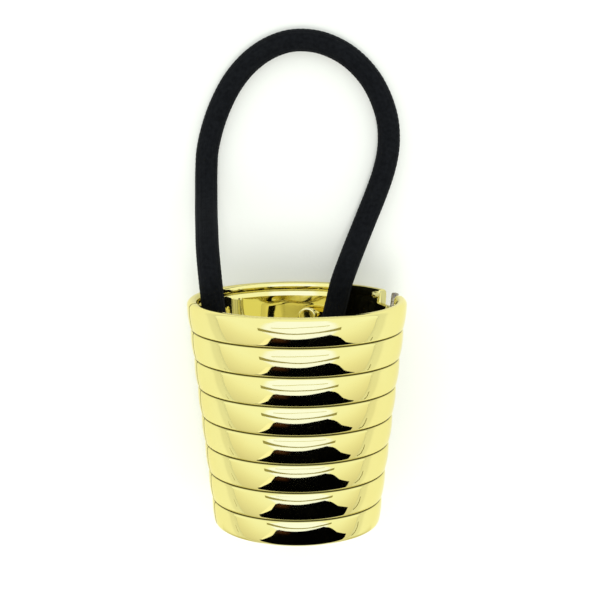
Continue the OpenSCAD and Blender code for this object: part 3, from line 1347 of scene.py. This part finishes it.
@dataclass(frozen=True)
class Card:
    """A flat card that glows and shows only in reflections, with its outline in metres.

    A level card's outline is in x and y at a height, and an upright one's in x and z at a distance on
    the narrow end's side. A card fades out towards its faded outline, which has as many points, and a
    card without one has a sharp edge.
    """

    name: str
    stand: Stand
    away: float
    glow: Colour
    outline: tuple[tuple[float, float], ...]
    faded: tuple[tuple[float, float], ...] = ()

    def _form(self) -> Form:
        """Builds the card and its faded border.

        Returns:
            The card where it stands, faded by 1 at the points of the faded outline.
        """
        points = [*self.outline, *self.faded]
        if self.stand is Stand.LEVEL:
            placed = [(x, y, self.away) for x, y in points]
        else:
            placed = [(x, -self.away, z) for x, z in points]
        count = len(self.outline)
        faces = [tuple(range(count))]
        if self.faded:
            faces += grid_faces(2, count, close_columns=True)
        return Form(np.array(placed, float), faces, np.arange(len(placed)) >= count)

    def put_up(self) -> None:
        """Makes the card and hides it from everything but reflections."""
        piece = make_piece(self.name, self._form())
        nodes = NodeSet(self.name)
        nodes.surface(Base_Color=(0, 0, 0, 1), Roughness=1.0, Specular_IOR_Level=0.0)
        nodes.surface(Emission_Color=self.glow, Emission_Strength=1.0)
        fade = nodes.add("ShaderNodeAttribute", attribute_name=SHADE_AND_FADE)
        shown = nodes.add("ShaderNodeMapRange", interpolation_type="SMOOTHSTEP", To_Min=1.0, To_Max=0.0)
        nodes.link(fade.outputs["Fac"], shown.inputs["Value"])
        nodes.link(shown.outputs["Result"], nodes.shader.inputs["Alpha"])
        piece.data.materials.append(nodes.material)
        piece.visible_camera = piece.visible_diffuse = piece.visible_shadow = False
        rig.stage(piece)


@dataclass(frozen=True)
class Studio:
    """Camera, floor and light: one soft lamp, soft pale surroundings and the cards that the cuff reflects.

    The panel is the big cool light overhead, with a joint and a frame bar as dark lines across it. The
    low cards lie just over the table beyond the narrow end. The upright cards stand behind them: a dark
    one, with a brown end and a white strip at its left.
    """

    camera_place: Point = (0.00051, 0.033063, 0.249233)
    camera_tilt: float = -3.567
    clip_start: float = 0.001
    lens_mm: float = 83.7
    sensor_mm: float = 36
    floor_size: float = 4
    key_place: Point = (0.03, -0.22, 0.85)
    key_size: float = 0.25
    key_brightness: float = 3.0
    sky_axis: Point = (0, 0.8, 0.6)
    sky_tones: tuple[tuple[float, Colour], ...] = (
        (-0.8, (0.62, 0.6, 0.5, 1)), (-0.4, (0.95, 0.945, 0.82, 1)), (-0.22, (1.08, 1.1, 0.98, 1)),
        (-0.08, (1.17, 1.22, 1.15, 1)), (0.05, (1.2, 1.28, 1.28, 1)),
    )
    cards: tuple[Card, ...] = (
        Card("panel", Stand.LEVEL, 0.6, (1.27, 1.41, 2.3, 1), (
            (-0.17, 0.36), (-0.19, 0.0), (-0.36, -0.262), (-0.39, -0.33), (-0.27, -0.4), (0.3, -0.41),
            (0.45, -0.4), (0.48, -0.34), (0.44, -0.262), (0.31, 0.0), (0.3, 0.36),
        ), (
            (-0.31, 0.4), (-0.33, 0.0), (-0.5, -0.262), (-0.53, -0.35), (-0.32, -0.43), (0.3, -0.44),
            (0.56, -0.43), (0.64, -0.36), (0.6, -0.262), (0.45, 0.0), (0.44, 0.4),
        )),
        Card("joint", Stand.LEVEL, 0.595, (0.82, 0.85, 0.66, 1), (
            (-0.3, -0.235), (-0.15, -0.222), (0.03, -0.208), (0.2, -0.212), (0.4, -0.222),
            (0.4, -0.236), (0.2, -0.222), (0.03, -0.217), (-0.15, -0.232), (-0.3, -0.247),
        )),
        Card("frame_bar", Stand.LEVEL, 0.594, (0.4, 0.38, 0.18, 1), (
            (-0.52, -0.285), (-0.4, -0.29), (-0.25, -0.3), (-0.1, -0.306), (0.04, -0.307),
            (0.2, -0.308), (0.35, -0.308), (0.5, -0.308), (0.64, -0.31),
            (0.64, -0.365), (0.5, -0.35), (0.35, -0.335), (0.2, -0.327), (0.04, -0.325),
            (-0.1, -0.325), (-0.25, -0.33), (-0.4, -0.34), (-0.52, -0.345),
        )),
        Card("low_shade", Stand.LEVEL, 0.0005, (0.72, 0.69, 0.46, 1), (
            (-0.02, -0.035), (0.02, -0.035), (0.13, -0.16), (-0.14, -0.16),
        ), (
            (-0.04, -0.03), (0.04, -0.03), (0.21, -0.18), (-0.22, -0.18),
        )),
        Card("low_light", Stand.LEVEL, 0.001, (1.35, 1.5, 3.0, 1), (
            (-0.014, -0.03), (0.014, -0.03), (0.04, -0.13), (-0.04, -0.13),
        ), (
            (-0.024, -0.028), (0.024, -0.028), (0.07, -0.16), (-0.07, -0.16),
        )),
        Card("low_mark_left", Stand.LEVEL, 0.001, (0.25, 0.22, 0.08, 1), (
            (-0.223, -0.1135), (-0.207, -0.14), (-0.185, -0.125), (-0.212, -0.108),
        )),
        Card("low_mark_right", Stand.LEVEL, 0.001, (0.22, 0.2, 0.08, 1), (
            (0.612, -0.444), (0.263, -0.171), (0.235, -0.13), (0.285, -0.133),
            (0.246, -0.109), (0.193, -0.107), (0.197, -0.128), (0.377, -0.284),
        )),
        Card("white_strip", Stand.UPRIGHT, 0.191, (1.3, 1.32, 1.25, 1), (
            (-0.17, 0.12), (-0.172, 0.2), (-0.175, 0.26), (-0.14, 0.29), (-0.13, 0.2), (-0.15, 0.13),
        )),
        Card("dark_card", Stand.UPRIGHT, 0.19, (0.0005, 0.0005, 0.0008, 1), (
            (-0.167, 0.103), (-0.14, 0.2), (-0.147, 0.28), (-0.13, 0.3),
            (0.0, 0.3), (0.06, 0.302), (0.11, 0.308), (0.22, 0.31), (0.25, 0.26), (0.252, 0.225),
            (0.238, 0.156), (0.258, 0.07), (0.15, 0.04), (0.05, 0.03), (-0.05, 0.04), (-0.1, 0.07),
        )),
        Card("brown_card", Stand.UPRIGHT, 0.189, (0.06, 0.022, 0.01, 1), (
            (-0.128, 0.278), (-0.126, 0.29), (-0.1, 0.294), (-0.09, 0.284),
        ), (
            (-0.142, 0.22), (-0.13, 0.3), (-0.01, 0.299), (-0.04, 0.24),
        )),
    )

    def camera(self) -> None:
        """Makes the camera at the photograph's viewing angle."""
        data = bpy.data.cameras.new("camera")
        data.lens = self.lens_mm
        data.sensor_width = self.sensor_mm
        data.clip_start = self.clip_start
        camera = bpy.data.objects.new("camera", data)
        camera.location = self.camera_place
        camera.rotation_euler = (math.radians(self.camera_tilt), 0, 0)
        bpy.context.scene.collection.objects.link(camera)
        bpy.context.scene.camera = camera

    def floor(self) -> None:
        """Makes the plain pale floor."""
        half = self.floor_size / 2
        corners = np.array([(-half, -half, 0), (half, -half, 0), (half, half, 0), (-half, half, 0)])
        piece = make_piece("floor", Form(corners, [(0, 1, 2, 3)]))
        piece.data.materials.append(FloorFinish().build())
        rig.stage(piece)

    def key(self) -> None:
        """Hangs the soft key light, on the side of the narrow end and the hinge, out of all reflections."""
        data = bpy.data.lights.new("key", "AREA")
        data.shape = "DISK"
        data.size = self.key_size
        data.energy = self.key_brightness
        lamp = bpy.data.objects.new("key", data)
        lamp.location = self.key_place
        lamp.rotation_euler = (-Vector(self.key_place)).to_track_quat("-Z", "Y").to_euler()
        lamp.visible_camera = lamp.visible_glossy = False
        bpy.context.scene.collection.objects.link(lamp)

    def sky(self) -> None:
        """Sets the soft surroundings, which are dimmest low on the narrow end's side."""
        world = bpy.data.worlds.new("surroundings")
        world.use_nodes = True
        tree = world.node_tree
        place = tree.nodes.new("ShaderNodeTexCoord")
        along = tree.nodes.new("ShaderNodeVectorMath")
        along.operation = "DOT_PRODUCT"
        along.inputs[1].default_value = self.sky_axis
        low, high = self.sky_tones[0][0], self.sky_tones[-1][0]
        share = tree.nodes.new("ShaderNodeMapRange")
        share.inputs["From Min"].default_value = low
        share.inputs["From Max"].default_value = high
        ramp = tree.nodes.new("ShaderNodeValToRGB")
        elements = ramp.color_ramp.elements
        halfway = 0.5
        while len(elements) < len(self.sky_tones):
            elements.new(halfway)
        for element, (height, tone) in zip(elements, self.sky_tones):
            element.position = (height - low) / (high - low)
            element.color = tone
        tree.links.new(place.outputs["Generated"], along.inputs[0])
        tree.links.new(along.outputs["Value"], share.inputs["Value"])
        tree.links.new(share.outputs["Result"], ramp.inputs["Fac"])
        tree.links.new(ramp.outputs["Color"], tree.nodes["Background"].inputs["Color"])
        bpy.context.scene.world = world

    def build(self) -> None:
        """Sets up the whole studio."""
        self.camera()
        self.floor()
        self.key()
        self.sky()
        for card in self.cards:
            card.put_up()
        bpy.context.scene.view_settings.view_transform = "Standard"


@dataclass(frozen=True)
class Cuff:
    """The whole cuff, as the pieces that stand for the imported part's nodes."""

    shape: CuffShape = field(default_factory=CuffShape)
    # How deep the painted shade on the cut ends is: beside the open gap, and at the seam between the halves.
    open_end_shade: float = 0.35
    seam_shade: float = 2.5

    @property
    def half_seam(self) -> float:
        """Half the seam's width at the mouth, as a turn."""
        return math.degrees(self.shape.seam_gap / 2 / self.shape.groove(self.shape.length))

    def _half(
        self, name: str, shell: Shell, parts: Sequence[bpy.types.Object], drill: bpy.types.Object
    ) -> bpy.types.Object:
        """Makes one half of the cuff.

        Args:
            name: Name of the piece.
            shell: Its wall.
            parts: The parts that are soldered to the wall.
            drill: The solid that is cut away for the pin.

        Returns:
            The half as one solid, shaded smooth.
        """
        piece = make_piece(name, shell.form().placed(self.shape.lying))
        for part in parts:
            join(piece, part, Join.FUSE)
        join(piece, drill, Join.CUT)
        smooth(piece)
        return piece

    def back_half(self, hinge: Hinge, gold: bpy.types.Material) -> None:
        """Makes the back half: its wall with the leaf, the bead and the outer knuckles.

        Args:
            hinge: The hinge.
            gold: The finish.
        """
        seam = 180 + self.shape.split_turn - self.half_seam
        ends = (self.open_end_shade, self.seam_shade)
        shell = Shell(self.shape, hinge.back_end, seam, end_shade=ends)
        parts = (hinge.leaf(), hinge.bead(), hinge.knuckle(0), hinge.knuckle(2))
        piece = self._half("cuff_back_half", shell, parts, hinge.drill())
        dress(piece, gold, Body.BACK, Slot.GOLD, "back_half")

    def front_half(self, hinge: Hinge, gold: bpy.types.Material) -> None:
        """Makes the front half: its wall with the arm and the middle knuckle.

        Args:
            hinge: The hinge.
            gold: The finish.
        """
        seam = 180 + self.shape.split_turn + self.half_seam
        ends = (self.seam_shade, self.open_end_shade)
        shell = Shell(self.shape, seam, 360 + hinge.front_end, end_shade=ends)
        piece = self._half("cuff_front_half", shell, (hinge.arm(), hinge.knuckle(1)), hinge.drill())
        dress(piece, gold, Body.FRONT, Slot.GOLD, "front_half")

    def hardware(self, hinge: Hinge, gold: bpy.types.Material) -> None:
        """Makes the pin, the catch tongue, the post and the sleeve.

        Args:
            hinge: The hinge, with its pin.
            gold: The finish of all but the pin.
        """
        holder = ElasticHolder(self.shape, Elastic().diameter)
        pin = hinge.pin()
        smooth(pin)
        dress(pin, SteelFinish().build(), Body.BACK, Slot.STEEL, "hinge_pin")
        for piece, node in (
            (Catch(self.shape).tongue(), "snap_tongue"),
            (holder.post(), "elastic_post"),
            (holder.sleeve(), "elastic_sleeve"),
        ):
            smooth(piece)
            dress(piece, gold, Body.BACK, Slot.GOLD, node)

    def elastic(self) -> None:
        elastic = Elastic()
        piece, line = elastic.build()
        smooth(piece, sharp_deg=60)
        dress(piece, ElasticFinish().build(), Body.BACK, Slot.ELASTIC, "elastic_cord")
        length = float(np.linalg.norm(np.diff(line, axis=0), axis=1).sum())
        log.info("elastic: %.1f mm along its middle line", length * 1000)
        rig.cord(
            piece, exit=line[0], length=length, diameter=elastic.diameter,
            far_end="object", stiffness="limp", lay="loose", path=line[:: elastic.stitch_rings],
        )

    def build(self) -> None:
        """Makes every piece, the elastic first."""
        self.elastic()
        hinge, gold = Hinge(self.shape), GoldFinish().build()
        self.back_half(hinge, gold)
        self.front_half(hinge, gold)
        self.hardware(hinge, gold)


def main() -> None:
    """Sets up the studio, makes the cuff and notes the sizes of the CAD and the visual model."""
    logging.basicConfig(level=logging.INFO, format="%(name)s: %(message)s")
    log.info("packed part: %d nodes on bodies %s", len(frame["nodes"]), ", ".join(frame["bodies"]))
    Studio().build()
    Cuff().build()
    boxes = {"cad": cad_box, "visual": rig.bounds()}
    sizes = {name: [list(corner) for corner in box] for name, box in boxes.items()}
    with open(SIZE_FILE, "w", encoding="utf-8") as file:
        json.dump(sizes, file)


if __name__ == "__main__":
    main()
